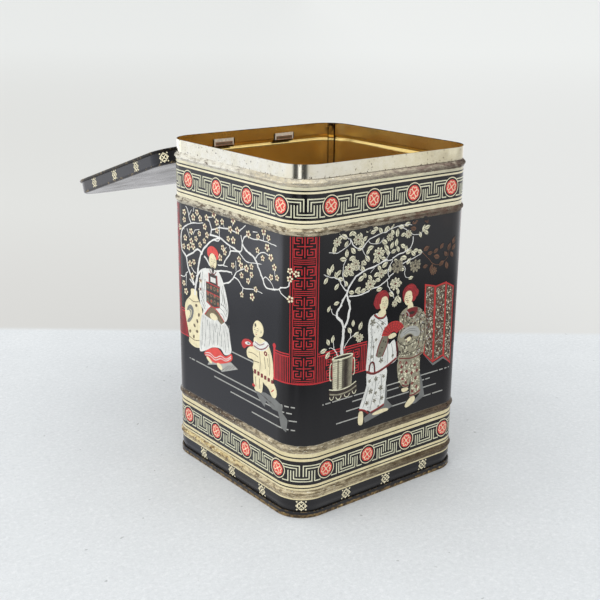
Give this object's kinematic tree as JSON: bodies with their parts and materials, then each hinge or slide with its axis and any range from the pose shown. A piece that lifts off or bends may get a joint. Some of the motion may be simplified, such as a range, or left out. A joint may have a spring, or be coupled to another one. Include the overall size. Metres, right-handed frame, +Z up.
{
  "type": "lithographed tin",
  "caption": "Tall square printed tin box with rounded corners, raised beads, a plain neck and a hinged lid swung open.",
  "frame": {"origin": "middle of the tin's square footprint, on the plane it stands on", "axes": "+Z up, +Y towards the hinged rear wall, X along the hinge wire"},
  "size_m": [0.1164, 0.2267, 0.1752],
  "materials": {
    "printed_tinplate": "glossy lithographed print in black, cream, red and gold over tinplate, gold lacquer inside, worn to metal on the beads",
    "lacquered_tinplate": "gold lacquer, slightly worn",
    "strap_tinplate": "lacquered tinplate with light rust",
    "lid_tinplate": "glossy black print outside, gold lacquer inside",
    "wire_steel": "dull drawn steel"
  },
  "bodies": {
    "tin": {"body_shell": "printed_tinplate", "base_plate": "lacquered_tinplate", "hinge_strap_left": "strap_tinplate", "hinge_strap_right": "strap_tinplate"},
    "lid": {"lid_cover": "lid_tinplate", "hinge_wire": "wire_steel"}
  },
  "joints": [
    {"name": "lid_hinge", "type": "hinge", "parent": "tin", "child": "lid", "pos_m": [0, 0.05815, 0.1689], "axis": [1, 0, 0], "range_deg": [0, 198]}
  ]
}
